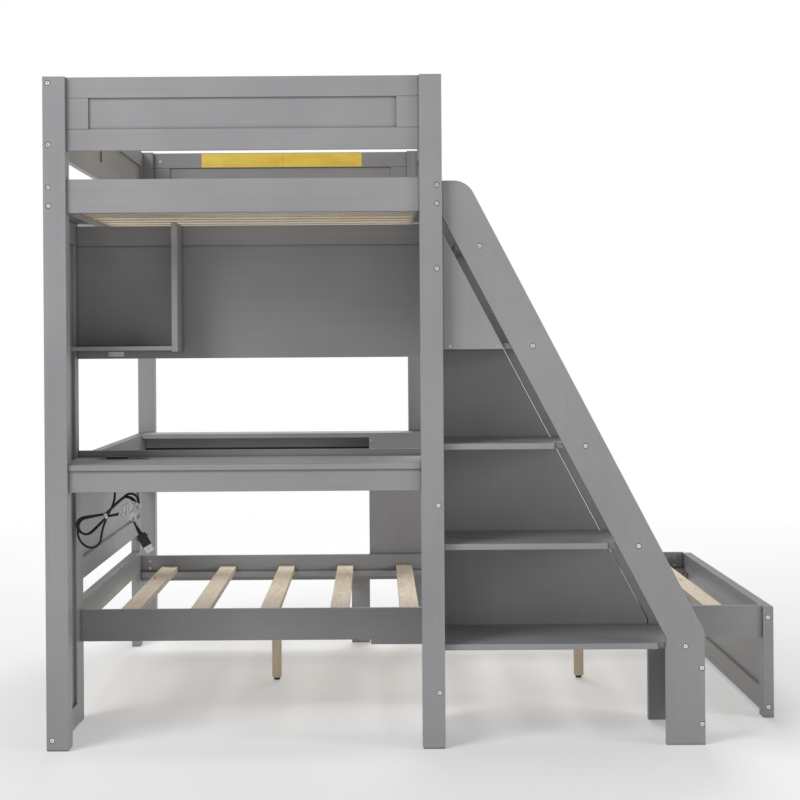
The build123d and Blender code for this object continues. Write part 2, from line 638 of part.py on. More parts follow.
# ---------------------------------------------------------------- shelf unit at the back
def back_unit():
    """Open shelf between the lower bed and the back posts, with its face board and foot."""
    left = (0.0, SIDE_T)
    right = mirror_x(left)
    behind_face = BACK_Y[0] + FACE_BOARD_T
    wood("back_shelf_top", board(SIDE_T, UPPER_W, *BACK_Y, *BACK_TOP_Z))
    wood(
        "back_cheeks",
        board(*left, LOWER_Y[1], BACK_Y[1], BACK_FLOOR_Z[0], HEAD_Z),
        board(*right, behind_face, BACK_Y[1], FACE_BOARD_Z0, BACK_TOP_Z[0]),
    )
    inner = (SIDE_T, right[0])
    wood(
        "back_shelf_back",
        board(*inner, *BACK_RAIL_Y, BACK_RAIL_Z, BACK_TOP_Z[0]),
        board(*inner, *BACK_PANEL_Y, BACK_FLOOR_Z[0], BACK_TOP_Z[0]),
    )
    divider = (FACE_BOARD_X0, FACE_BOARD_X0 + SHELF_T)
    wood(
        "back_face_board",
        board(FACE_BOARD_X0, UPPER_W, BACK_Y[0], behind_face, FACE_BOARD_Z0, BACK_TOP_Z[0]),
        board(*divider, behind_face, BACK_RAIL_Y[0], BACK_FLOOR_Z[0], BACK_TOP_Z[0]),
    )
    wood("back_shelf_floor", board(SIDE_T, divider[0], BACK_Y[0], BACK_PANEL_Y[0], *BACK_FLOOR_Z))
    strip_y = (BACK_PANEL_Y[0] - 3, BACK_PANEL_Y[0])
    strip_z = (BACK_RAIL_Z - TRIM_STRIP_H, BACK_RAIL_Z)
    nodes["back_trim_strip"] = [board(SIDE_T, FACE_BOARD_X0, *strip_y, *strip_z)]
    wood("back_foot", board(*BACK_FOOT))
    wood("rail_ledger", board(*LEDGER))


# ---------------------------------------------------------------- fasteners
# A bolt is (head point on the face, inward direction, length, nut), and its nut is None or
# (distance from the head, side the nut is put in from, reach). A screw has the first three.
bolts = []
screws = []


def add_bolt(point, direction, length, nut=None):
    """Note a connector bolt, with its barrel nut if it has one."""
    bolts.append((point, direction, length, nut))


def rail_bolts():
    """Bolts that draw the upper rails and guards against the posts."""
    inward = POST + 25
    for z in (1455.0, 1504.0):
        for x, side in ((14.0, 1), (UPPER_W - 14.0, -1)):
            nut = (inward, (side, 0, 0), 12.0)
            add_bolt((x, 0, z), (0, 1, 0), inward + 10, nut)
            add_bolt((x, DEPTH, z), (0, -1, 0), inward + 10, nut)
    for z in (1618.0, 1783.0):
        add_bolt((14.0, 0, z), (0, 1, 0), inward + 10, (inward, (1, 0, 0), 9.0))
        for x, side in ((14.0, 1), (UPPER_W - 14.0, -1)):
            add_bolt((x, DEPTH, z), (0, -1, 0), inward + 10, (inward, (side, 0, 0), 9.0))
    for y, z, open_y, reach in (
        (24.5, 1470.0, 1, 12.5),
        (24.5, 1489.0, 1, 12.5),
        (24.0, 1630.0, 1, 10.0),
        (24.0, 1769.0, 1, 10.0),
    ):
        for x, side in ((0.0, 1), (UPPER_W, -1)):
            add_bolt((x, y, z), (side, 0, 0), inward + 10, (inward, (0, open_y, 0), reach))
            add_bolt((x, DEPTH - y, z), (side, 0, 0), inward + 10, (inward, (0, -open_y, 0), reach))


def panel_bolts():
    """Bolts through the front posts into the side panels, and through the panels into the hutch."""
    inward = POST + 25
    add_bolt((15.0, 0, 28.5), (0, 1, 0), inward + 10, (inward, (1, 0, 0), 15.0))
    for z in (150.0, 649.0, 1281.0):
        add_bolt((UPPER_W - 15, 0, z), (0, 1, 0), inward + 10, (inward, (-1, 0, 0), 15.0))
    for x, side in ((0.0, 1), (UPPER_W, -1)):
        add_bolt((x, 379.0, 1395.0), (side, 0, 0), 75.0, (65.0, (0, 1, 0), 11.0))
        for z in (620.0, 710.0):
            add_bolt((x + side * 15, DEPTH, z), (0, -1, 0), inward + 10, (inward, (side, 0, 0), 15.0))


def tower_bolts():
    """Bolts through the stringers into the steps, the foot board, the post and the side rail."""
    front = STRINGER_FRONT_Y
    rear = STRINGER_REAR_Y + STRINGER_T
    heights = [step_z(i) for i in range(STEP_COUNT)]
    points = [((inner_edge_x(z) + outer_edge_x(z)) / 2, z) for z in heights]
    points += [(STRINGER_KNEE_OUT[0] - SHELF_T / 2, z) for z in (55.0, 206.0)]
    for x, z in points:
        add_bolt((x, front, z), (0, 1, 0), 70.0)
        add_bolt((x, rear, z), (0, -1, 0), 70.0)
    middle = STRINGER_T / 2
    for z in (1440.0, 1480.0):
        add_bolt((UPPER_W - POST, front + middle, z), (1, 0, 0), 105.0)
    for z in (1470.0, 1500.0):
        add_bolt((mirror_x(SIDE_RAIL_X)[0], STRINGER_REAR_Y + middle, z), (1, 0, 0), 72.0)


def lower_bolts():
    """Bolts of the lower bed's rails and of its head and footboard frames."""
    inward = SIDE_T + 32
    for z in (276.0, 302.0):
        for x, side in ((0.0, 1), (WIDTH, -1)):
            for span, open_y in ((front_rail_y(), 1), (back_rail_y(), -1)):
                y = (span[0] + span[1]) / 2
                nut = (inward, (0, open_y, 0), LOWER_RAIL_T / 2)
                add_bolt((x, y, z), (side, 0, 0), inward + 10, nut)
    inward = LEG_D + 25
    for x, side, heights in ((15.0, 1, (325.0, 432.0, 727.0)), (WIDTH - 15, -1, (30.0, 288.0))):
        for z in heights:
            nut = (inward, (side, 0, 0), 15.0)
            add_bolt((x, LOWER_Y[0], z), (0, 1, 0), inward + 10, nut)
            add_bolt((x, LOWER_Y[1], z), (0, -1, 0), inward + 10, nut)


def wood_screws():
    """Small countersunk screws: slats, battens, bracket, infill panel and face board."""
    top = CLEAT_Z[1] + UPPER_SLAT[2]
    for y in upper_slat_centres():
        for x in (SIDE_RAIL_X[1] + CLEAT_W / 2, UPPER_W - SIDE_RAIL_X[1] - CLEAT_W / 2):
            screws.append(((x, y, top), (0, 0, -1), 28.0))
    top = LOWER_CLEAT_Z[1] + LOWER_SLAT_T
    for x in lower_slat_centres():
        for y in (front_rail_y()[1] + LOWER_CLEAT_W / 2, back_rail_y()[0] - LOWER_CLEAT_W / 2):
            screws.append(((x, y, top), (0, 0, -1), 32.0))
    for x in CENTRE_LEG_X:
        screws.append(((x, CENTRE_LEG_Y, top), (0, 0, -1), 60.0))
    bottom = DESK_Z[0] - DESK_CLEAT[1]
    for x in (SIDE_T + DESK_CLEAT[0] / 2, UPPER_W - SIDE_T - DESK_CLEAT[0] / 2):
        for y in (100.0, 340.0):
            screws.append(((x, y, bottom), (0, 0, 1), 36.0))
    for x in (1085.0, 1214.0):
        screws.append(((x, INFILL_Y[0], step_z(3)), (0, 1, 0), 48.0))
    for x in (FACE_BOARD_X0 + SHELF_T / 2, UPPER_W - SIDE_T / 2):
        for z in (620.0, 733.0):
            screws.append(((x, BACK_Y[0], z), (0, 1, 0), 45.0))
    for x in (BRACKET_X[0] + 10, BRACKET_X[1] - 10):
        screws.append(((x, HUTCH_Y[0] - BRACKET_T, sum(BRACKET_Z) / 2), (0, 1, 0), 12.0))


def bolt_solid(length):
    """Flat-head connector bolt with a hex socket; local Z runs into the wood, the face is at zero."""
    head_start = SINK_DEPTH - BOLT_HEAD_T
    solid = Pos(0, 0, head_start) * Cylinder(BOLT_HEAD_R, BOLT_HEAD_T, align=STANDING)
    solid = chamfer(solid.faces().sort_by(Axis.Z)[0].edges(), 0.6)
    solid += Pos(0, 0, SINK_DEPTH) * Cylinder(BOLT_R, length - SINK_DEPTH, align=STANDING)
    socket = extrude(RegularPolygon(SOCKET_R, 6), amount=head_start + 2.0)
    return solid - socket


def screw_solid(length):
    """Countersunk screw with a cross slot; local Z runs into the wood, the face is at zero."""
    solid = Cone(SCREW_HEAD_R, SCREW_R, SCREW_HEAD_T, align=STANDING)
    solid += Pos(0, 0, SCREW_HEAD_T) * Cylinder(SCREW_R, length - SCREW_HEAD_T, align=STANDING)
    for turn in (0, 90):
        solid -= Rot(0, 0, turn) * Box(4.4, 0.9, 1.8)
    return solid


def cylinder_along(origin, direction, radius, start, end):
    """A cylinder on an axis through a point, between two distances along it."""
    place = Plane(origin=origin, z_dir=direction).location
    return place * Pos(0, 0, start) * Cylinder(radius, end - start, align=STANDING)


def fasteners():
    """Place every bolt, barrel nut and screw, and return the holes they need."""
    holes = []
    shapes = {length: bolt_solid(length) for length in {bolt[2] for bolt in bolts}}
    placed, nuts = [], []
    for point, direction, length, nut in bolts:
        place = Plane(origin=point, z_dir=direction).location
        placed.append(place * shapes[length])
        holes.append(cylinder_along(point, direction, BOLT_HOLE_R, 0, length + 1))
        holes.append(cylinder_along(point, direction, SINK_R, -1, SINK_DEPTH))
        if nut:
            distance, side, reach = nut
            centre = tuple(p + d * distance for p, d in zip(point, direction))
            barrel = cylinder_along(centre, side, NUT_R, -NUT_BACK, reach - NUT_SET)
            barrel -= cylinder_along(point, direction, BOLT_R + 0.05, 0, length + 10)
            nuts.append(barrel)
            holes.append(cylinder_along(centre, side, NUT_R + FIT, -NUT_BACK - FIT, reach + 0.01))
    shapes = {length: screw_solid(length) for length in {screw[2] for screw in screws}}
    small = []
    for point, direction, length in screws:
        place = Plane(origin=point, z_dir=direction).location
        small.append(place * shapes[length])
        holes.append(cylinder_along(point, direction, SCREW_HOLE_R, 0, length + 0.5))
        sink = Cone(SCREW_HEAD_R + 0.1, SCREW_HOLE_R, SCREW_HEAD_T, align=STANDING)
        holes.append(place * sink)
    nodes["connector_bolts"] = placed
    nodes["barrel_nuts"] = nuts
    nodes["wood_screws"] = small
    return holes


def touches(a, b):
    """Whether two bounding boxes overlap."""
    return all(
        low_a < high_b and low_b < high_a
        for low_a, high_a, low_b, high_b in zip(a.min, a.max, b.min, b.max)
    )


def drill(holes):
    """Cut each hole from the wooden solids it reaches."""
    boxes = [(hole, hole.bounding_box()) for hole in holes]
    for name in wooden:
        for i, solid in enumerate(nodes[name]):
            extent = solid.bounding_box()
            reaching = [hole for hole, box in boxes if touches(extent, box)]
            if reaching:
                nodes[name][i] = solid - reaching


def to_row_frame(solid):
    """Move a solid so that the origin is on the floor under the middle."""
    return Pos(-WIDTH / 2, -DEPTH / 2, 0) * solid


def write():
    """One STEP file for each node."""
    for name, solids in nodes.items():
        bodies = []
        for solid in solids:
            bodies += to_row_frame(solid).solids()
        shape = bodies[0] if len(bodies) == 1 else Compound(children=bodies)
        export_step(shape, f"parts/{name}.step")


posts()
upper_frame()
guards()
side_panels()
hutch()
desk()
power_unit()
cord()
plug()
tower()
bed_ends()
lower_bed()
back_unit()
rail_bolts()
panel_bolts()
tower_bolts()
lower_bolts()
wood_screws()
drill(fasteners())
write()
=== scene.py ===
"""Looks of the loft bed with desk: materials for every CAD node, the cord with its tie and
film tag, and the studio. Metres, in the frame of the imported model."""

from math import copysign, cos, pi, radians, sin

import bmesh
import bpy
from mathutils import Matrix, Vector, noise


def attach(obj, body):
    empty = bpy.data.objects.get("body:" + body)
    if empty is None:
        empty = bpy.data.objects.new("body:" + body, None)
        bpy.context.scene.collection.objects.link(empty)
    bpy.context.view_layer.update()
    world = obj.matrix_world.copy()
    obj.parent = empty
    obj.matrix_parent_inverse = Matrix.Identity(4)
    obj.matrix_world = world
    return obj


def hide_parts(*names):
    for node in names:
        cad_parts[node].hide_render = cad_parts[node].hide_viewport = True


# ---------------------------------------------------------------- which node is made of what
PAINTED_ALONG_X = (
    "back_foot back_guard back_shelf_floor back_shelf_top cubby_floor desk_apron"
    " desk_top front_guard hutch_back lower_back_rail lower_front_rail rail_ledger step_shelves"
    " top_tread upper_back_rail upper_front_rail back_shelf_back ladder_foot_board"
).split()
PAINTED_ALONG_Y = (
    "desk_cleats footboard headboard left_guard lower_cleats right_guard upper_cleats"
    " upper_left_rail upper_right_rail"
).split()
PAINTED_ALONG_Z = (
    "back_cheeks back_face_board back_left_post back_right_post cubby_divider front_left_post"
    " front_right_post front_stringer left_side_panel rear_stringer right_side_panel"
    " tower_front_panel tower_rear_panel"
).split()

# ---------------------------------------------------------------- cord route, as in the CAD
CORD_D = 0.0065
CORD_DROP = (
    (-0.866, -0.722, 0.694),
    (-0.866, -0.722, 0.678),
    (-0.866, -0.716, 0.661),
    (-0.870, -0.702, 0.640),
    (-0.881, -0.693, 0.617),
    (-0.894, -0.691, 0.592),
    (-0.904, -0.691, 0.566),
    (-0.909, -0.691, 0.541),
    (-0.912, -0.692, 0.520),
    (-0.930, -0.694, 0.508),
    (-0.950, -0.697, 0.511),
    (-0.966, -0.701, 0.526),
    (-0.974, -0.706, 0.547),
)
HANK_CENTRE = Vector((-0.890, -0.722, 0.603))
HANK_TILT = radians(25)
HANK_PITCH = 0.0071                 # from one turn of the hank to the next, front to back
WAIST_V = 0.0042                    # height of a strand over the hank's middle line at the tie
STRAND_STEPS = (0.20, 0.46, 0.73)   # points on a strand from an end loop to the tie
HANK_TURNS = (                      # (left loop's centre u, v, radius), (right loop's ...)
    ((-0.066, -0.002, 0.0250), (0.066, 0.001, 0.0240)),
    ((-0.062, -0.005, 0.0240), (0.078, 0.005, 0.0245)),
    ((-0.068, 0.001, 0.0250), (0.064, 0.002, 0.0240)),
)
CORD_TAIL = (
    (-0.8090, -0.7292, 0.6250),
    (-0.8115, -0.7296, 0.6080),
    (-0.8132, -0.7276, 0.5940),
    (-0.8110, -0.7245, 0.5820),
    (-0.8060, -0.722, 0.5712),
)

TIE_W = 0.008
TIE_T = 0.0008
TIE_HALF = (0.0081, 0.0110)         # half height and half depth of the opening round the strands
TIE_SQUARENESS = 0.55               # 1 is a round opening, and 0 a square one
TIE_POINTS = 48                     # round the opening
TIE_FLARE = 0.05                    # how much wider the band's edges stand than its middle
TIE_CREASE = 0.00025
TIE_END = 0.026                     # length of the tie's twisted ends
TIE_END_HALF = (0.0016, 0.0008)     # half width and half thickness of the two ends together
TIE_END_TWIST = 7.5 * pi
TIE_END_STEPS = 60
TIE_END_POINTS = 10

TAG_CENTRE = (0.070, -0.016, 0.0150)
TAG_TURN = radians(-49)
TAG_SIZE = (0.051, 0.053)
TAG_CELLS = 44
TAG_CRUMPLE = (0.0007, 0.0012)      # height of its sharp ridges and of its soft folds
TAG_RAGGED = 0.0008                 # how far its outline wanders
TAG_HELD = Vector((-0.809, -0.737, 0.587))    # the corner that is folded over the cord
TAG_FOLD = 0.026                    # length of that fold
TAG_DROP = 0.0082                   # how far back that corner reaches to the cord


# ---------------------------------------------------------------- node helpers
def put(tree, kind, inputs=(), **settings):
    """Add a shader node; each input is a number, a colour or another node's socket."""
    made = tree.nodes.new(kind)
    for name, value in settings.items():
        setattr(made, name, value)
    for socket, value in dict(inputs).items():
        if isinstance(value, bpy.types.NodeSocket):
            tree.links.new(value, made.inputs[socket])
        else:
            made.inputs[socket].default_value = value
    return made


def blank(name):
    """A new material, its node tree and its Principled shader."""
    material = bpy.data.materials.new(name)
    material.use_nodes = True
    tree = material.node_tree
    return material, tree, tree.nodes["Principled BSDF"]


def stretched(tree, scale):
    """Object coordinates scaled by (x, y, z)."""
    place = put(tree, "ShaderNodeTexCoord")
    inputs = {"Vector": place.outputs["Object"], "Scale": scale}
    return put(tree, "ShaderNodeMapping", inputs).outputs[0]


def along(axis, length, width):
    """Frequencies for a streak that is long on one axis and narrow on the others."""
    return tuple(1 / length if i == axis else 1 / width for i in range(3))


def noise_at(tree, scale, detail=3.0, roughness=0.5, distortion=0.0):
    """Noise whose features have a size per axis, given as frequencies (1/m)."""
    inputs = {
        "Vector": stretched(tree, scale),
        "Scale": 1.0,
        "Detail": detail,
        "Roughness": roughness,
        "Distortion": distortion,
    }
    return put(tree, "ShaderNodeTexNoise", inputs).outputs["Fac"]


def spread(tree, value, low, high, to_low=0.0, to_high=1.0):
    """Map a value from one span to another, clamped."""
    inputs = {"Value": value, "From Min": low, "From Max": high, "To Min": to_low, "To Max": to_high}
    return put(tree, "ShaderNodeMapRange", inputs).outputs["Result"]


def maths(tree, operation, first, second):
    """One arithmetic node."""
    return put(tree, "ShaderNodeMath", {0: first, 1: second}, operation=operation).outputs[0]


def blend_colour(tree, factor, first, second):
    """Mix two colours, given as linear RGB or as sockets."""
    made = put(tree, "ShaderNodeMix", data_type="RGBA")
    for socket, value in ((0, factor), (6, first), (7, second)):
        if isinstance(value, bpy.types.NodeSocket):
            tree.links.new(value, made.inputs[socket])
        elif socket == 0:
            made.inputs[socket].default_value = value
        else:
            made.inputs[socket].default_value = (*value, 1.0)
    return made.outputs[2]


def eased_edge(tree, radius):
    """Normal rounded over edges, and a mask that is 1 on them."""
    rounded = put(tree, "ShaderNodeBevel", {"Radius": radius}, samples=4).outputs[0]
    flat = put(tree, "ShaderNodeNewGeometry").outputs["Normal"]
    facing = put(tree, "ShaderNodeVectorMath", {0: rounded, 1: flat}, operation="DOT_PRODUCT")
    return rounded, spread(tree, facing.outputs["Value"], 0.995, 0.80)


def occlusion_shade(tree, reach):
    """Painted shade mask, from ambient occlusion: it falls from 1 on open faces towards 0 in inner corners
    and narrow joints.
    """
    shade = put(tree, "ShaderNodeAmbientOcclusion", {"Distance": reach}, samples=6)
    return spread(tree, shade.outputs["AO"], 0.30, 0.92)


def scaled(tree, colour, factor):
    """A colour times a factor."""
    return put(tree, "ShaderNodeVectorMath", {0: colour, "Scale": factor}, operation="SCALE").outputs[0]


def bumps(tree, shader, layers, normal=None):
    """Stack bump layers of (height, distance in metres, strength) on the shader."""
    for height, distance, strength in layers:
        inputs = {"Height": height, "Distance": distance, "Strength": strength}
        if normal is not None:
            inputs["Normal"] = normal
        normal = put(tree, "ShaderNodeBump", inputs).outputs[0]
    tree.links.new(normal, shader.inputs["Normal"])


# ---------------------------------------------------------------- colours, as linear RGB
PAINT_DEEP = (0.262, 0.262, 0.270)
PAINT_PALE = (0.292, 0.292, 0.300)
PAINT_RUBBED = (0.40, 0.40, 0.405)
JOINT_SHADE = 0.45                  # painted shade: tone factor of paint in inner corners and joints beside open faces
PINE_EARLY = (0.96, 0.86, 0.71)
PINE_LATE = (0.85, 0.68, 0.48)
PINE_WARM = (0.93, 0.79, 0.60)
PINE_KNOT = (0.22, 0.11, 0.055)
SIDE_PAINTED_SHADE = 0.55                   # painted shade: tone factor of a slat's faces that look along one axis, beside its other faces
UNIT_BLACK = ((0.012, 0.012, 0.013), (0.030, 0.030, 0.032))    # deep and pale tone of each plastic
CAP_BLACK = ((0.012, 0.012, 0.012), (0.028, 0.028, 0.028))
STRIP_BLACK = ((0.008, 0.008, 0.008), (0.020, 0.020, 0.020))
PLUG_BLACK = ((0.010, 0.010, 0.011), (0.026, 0.026, 0.027))
SHEATH_BLACK = ((0.0085, 0.0085, 0.009), (0.022, 0.022, 0.023))


# ---------------------------------------------------------------- materials
def paint(axis):
    """Satin grey paint over boards whose grain runs along an axis: roller texture, the grain
    telegraphing through, faint clouding, edges rubbed a little paler, and painted shade in inner
    corners and joints."""
    material, tree, shader = blank("paint_grain_" + "xyz"[axis])
    grain = noise_at(tree, along(axis, 0.55, 0.012), 5.0, 0.62, 0.5)
    pores = noise_at(tree, along(axis, 0.05, 0.0016), 2.0, 0.5)
    cloud = noise_at(tree, (3.2, 3.2, 3.2), 3.0, 0.55)
    roller = noise_at(tree, (520.0, 520.0, 520.0), 2.0, 0.5)
    rounded, edge = eased_edge(tree, 0.0022)
    unshaded = occlusion_shade(tree, 0.009)
    tone = blend_colour(tree, spread(tree, cloud, 0.35, 0.65), PAINT_DEEP, PAINT_PALE)
    tone = scaled(tree, tone, spread(tree, grain, 0.30, 0.70, 0.965, 1.025))
    rubbed = maths(tree, "MULTIPLY", edge, spread(tree, cloud, 0.42, 0.66, 0.08, 0.55))
    rubbed = maths(tree, "MULTIPLY", rubbed, unshaded)
    tone = blend_colour(tree, rubbed, tone, PAINT_RUBBED)
    # painted shade: the paint is darkened in inner corners and joints, where ambient occlusion finds them
    tone = scaled(tree, tone, spread(tree, unshaded, 0.0, 1.0, JOINT_SHADE, 1.0))
    tree.links.new(tone, shader.inputs["Base Color"])
    sheen = spread(tree, cloud, 0.3, 0.7, 0.40, 0.50)
    gloss = maths(tree, "ADD", sheen, spread(tree, roller, 0.3, 0.7, -0.03, 0.03))
    tree.links.new(gloss, shader.inputs["Roughness"])
    shader.inputs["Specular IOR Level"].default_value = 0.42
    layers = ((grain, 0.0006, 0.35), (pores, 0.00025, 0.30), (roller, 0.00020, 0.30))
    bumps(tree, shader, layers, rounded)
    return material


def pine(axis, shaded_axis=None, tint=1.0):
    """Bare planed pine: growth-ring streaks, fine fibre, knots with grain bent round them, and
    painted shade that darkens the faces looking along one given axis. A tint below 1 darkens the whole
    board."""
    material, tree, shader = blank("pine_grain_" + "xyz"[axis])
    coords = stretched(tree, along(axis, 0.9, 0.085))
    warp = noise_at(tree, along(axis, 0.30, 0.05), 2.0, 0.5)
    cells = put(tree, "ShaderNodeTexVoronoi", {"Vector": coords, "Scale": 1.6, "Randomness": 1.0})
    knot_distance = cells.outputs["Distance"]
    knot_pull = spread(tree, knot_distance, 0.0, 0.28, 0.9, 0.0)
    shift = maths(tree, "ADD", maths(tree, "MULTIPLY", warp, 1.3), knot_pull)
    shifted = put(tree, "ShaderNodeCombineXYZ", {"X": shift, "Y": shift, "Z": shift}).outputs[0]
    bent = put(tree, "ShaderNodeVectorMath", {0: coords, 1: shifted}, operation="ADD")
    ring_inputs = {
        "Vector": bent.outputs[0],
        "Scale": 6.0,
        "Detail": 5.0,
        "Roughness": 0.62,
        "Distortion": 0.25,
    }
    rings = put(tree, "ShaderNodeTexNoise", ring_inputs).outputs["Fac"]
    fibre = noise_at(tree, along(axis, 0.12, 0.0011), 3.0, 0.6)
    cloud = noise_at(tree, along(axis, 1.2, 0.10), 2.0, 0.5)
    rounded, edge = eased_edge(tree, 0.0018)
    tone = blend_colour(tree, spread(tree, rings, 0.38, 0.62), PINE_EARLY, PINE_LATE)
    tone = blend_colour(tree, spread(tree, cloud, 0.35, 0.65, 0.0, 0.38), tone, PINE_WARM)
    knot = spread(tree, knot_distance, 0.075, 0.035)
    halo = spread(tree, knot_distance, 0.17, 0.05, 0.0, 0.45)
    tone = blend_colour(tree, halo, tone, PINE_LATE)
    tone = blend_colour(tree, maths(tree, "MULTIPLY", knot, 0.8), tone, PINE_KNOT)
    tone = scaled(tree, tone, spread(tree, fibre, 0.3, 0.7, 0.93 * tint, 1.04 * tint))
    tone = blend_colour(tree, maths(tree, "MULTIPLY", edge, 0.25), tone, PINE_EARLY)
    # painted shade: the faces that look along the given axis are darkened
    if shaded_axis is not None:
        normal = put(tree, "ShaderNodeNewGeometry").outputs["True Normal"]
        facing = put(tree, "ShaderNodeSeparateXYZ", {0: normal}).outputs[shaded_axis]
        side = spread(tree, maths(tree, "ABSOLUTE", facing, 0.0), 0.7, 0.9, 1.0, SIDE_PAINTED_SHADE)
        tone = scaled(tree, tone, side)
    tree.links.new(tone, shader.inputs["Base Color"])
    tree.links.new(spread(tree, fibre, 0.3, 0.7, 0.50, 0.66), shader.inputs["Roughness"])
    shader.inputs["Specular IOR Level"].default_value = 0.3
    bumps(tree, shader, ((rings, 0.0005, 0.35), (fibre, 0.0003, 0.40)), rounded)
    return material


def plated_steel(name, colour, streak_axis, rough):
    """Zinc- or nickel-plated steel with fine drawing marks, a mottled sheen, and painted shade in its
    hollows.
    """
    material, tree, shader = blank(name)
    marks = noise_at(tree, along(streak_axis, 0.02, 0.00035), 3.0, 0.6)
    cloud = noise_at(tree, (160.0, 160.0, 160.0), 3.0, 0.6)
    dull = tuple(0.82 * c for c in colour)
    tone = blend_colour(tree, spread(tree, cloud, 0.40, 0.66), colour, dull)
    # painted shade: darker in sockets, slots and the ring round a sunk head, from ambient occlusion
    tone = scaled(tree, tone, spread(tree, occlusion_shade(tree, 0.003), 0.0, 1.0, 0.25, 1.0))
    tree.links.new(tone, shader.inputs["Base Color"])
    shader.inputs["Metallic"].default_value = 1.0
    tree.links.new(spread(tree, marks, 0.3, 0.7, rough - 0.08, rough + 0.10), shader.inputs["Roughness"])
    rounded = eased_edge(tree, 0.0004)[0]
    bumps(tree, shader, ((marks, 0.00005, 0.5),), rounded)
    return material


def moulded_plastic(name, deep, pale, rough, grain_size=0.0009):
    """Moulded plastic with a fine spark-eroded texture and paler, rubbed edges."""
    material, tree, shader = blank(name)
    frequency = 1 / grain_size
    texture = noise_at(tree, (frequency,) * 3, 3.0, 0.6)
    cloud = noise_at(tree, (45.0, 45.0, 45.0), 3.0, 0.6)
    rounded, edge = eased_edge(tree, 0.0007)
    tone = blend_colour(tree, spread(tree, cloud, 0.35, 0.65, 0.0, 0.6), deep, pale)
    tone = blend_colour(tree, maths(tree, "MULTIPLY", edge, 0.5), tone, tuple(1.6 * c for c in pale))
    tree.links.new(tone, shader.inputs["Base Color"])
    tree.links.new(spread(tree, texture, 0.3, 0.7, rough - 0.06, rough + 0.08), shader.inputs["Roughness"])
    bumps(tree, shader, ((texture, 0.00008, 0.45),), rounded)
    return material


def cord_sheath():
    """Black PVC sheath: faint extrusion ripple, scuffs and a soft sheen."""
    material, tree, shader = blank("cord_sheath")
    ripple = noise_at(tree, (700.0, 700.0, 700.0), 2.0, 0.5)
    scuff = noise_at(tree, (90.0, 90.0, 90.0), 4.0, 0.65)
    tone = blend_colour(tree, spread(tree, scuff, 0.45, 0.75), *SHEATH_BLACK)
    tree.links.new(tone, shader.inputs["Base Color"])
    tree.links.new(spread(tree, scuff, 0.3, 0.7, 0.36, 0.58), shader.inputs["Roughness"])
    bumps(tree, shader, ((ripple, 0.0001, 0.4), (scuff, 0.0002, 0.2)))
    return material


def label_film():
    """Plain yellow vinyl: slight fading, soft ripples from being stuck on by hand."""
    material, tree, shader = blank("label_film")
    fade = noise_at(tree, (9.0, 9.0, 30.0), 3.0, 0.55)
    ripple = noise_at(tree, (70.0, 70.0, 25.0), 3.0, 0.6)
    tone = blend_colour(tree, spread(tree, fade, 0.3, 0.7), (0.78, 0.54, 0.06), (0.90, 0.68, 0.12))
    tree.links.new(tone, shader.inputs["Base Color"])
    tree.links.new(spread(tree, ripple, 0.3, 0.7, 0.26, 0.42), shader.inputs["Roughness"])
    bumps(tree, shader, ((ripple, 0.0004, 0.5),))
    return material


def tag_film():
    """Crumpled clear film with milky bands where it is folded on itself."""
    material, tree, shader = blank("tag_film")
    bands = noise_at(tree, (400.0, 60.0, 60.0), 3.0, 0.6, 0.8)
    creases = noise_at(tree, (170.0, 170.0, 170.0), 4.0, 0.7)
    tone = blend_colour(tree, spread(tree, bands, 0.42, 0.58), (0.42, 0.43, 0.44), (0.86, 0.87, 0.87))
    tree.links.new(tone, shader.inputs["Base Color"])
    tree.links.new(spread(tree, creases, 0.3, 0.7, 0.12, 0.34), shader.inputs["Roughness"])
    tree.links.new(spread(tree, bands, 0.42, 0.60, 0.70, 0.97), shader.inputs["Alpha"])
    shader.inputs["Coat Weight"].default_value = 0.5
    shader.inputs["Coat Roughness"].default_value = 0.12
    bumps(tree, shader, ((creases, 0.0008, 0.7),))
    return material


def clear_cover():
    """Soft translucent cover over the plug's prongs, slightly hazed."""
    material, tree, shader = blank("clear_cover")
    haze = noise_at(tree, (220.0, 220.0, 220.0), 3.0, 0.6)
    tone = blend_colour(tree, spread(tree, haze, 0.35, 0.65), (0.90, 0.92, 0.93), (0.97, 0.98, 0.98))
    tree.links.new(tone, shader.inputs["Base Color"])
    tree.links.new(spread(tree, haze, 0.3, 0.7, 0.16, 0.30), shader.inputs["Roughness"])
    tree.links.new(spread(tree, haze, 0.35, 0.65, 0.66, 0.86), shader.inputs["Alpha"])
    rounded = eased_edge(tree, 0.0008)[0]
    bumps(tree, shader, ((haze, 0.0002, 0.4),), rounded)
    return material


def tie_wrap():
    """White paper-covered twist tie, creased across."""
    material, tree, shader = blank("tie_wrap")
    crease = noise_at(tree, (600.0, 600.0, 600.0), 3.0, 0.6)
    tone = blend_colour(tree, spread(tree, crease, 0.35, 0.65), (0.78, 0.78, 0.76), (0.92, 0.92, 0.90))
    tree.links.new(tone, shader.inputs["Base Color"])
    tree.links.new(spread(tree, crease, 0.3, 0.7, 0.45, 0.62), shader.inputs["Roughness"])
    bumps(tree, shader, ((crease, 0.0003, 0.6),))
    return material


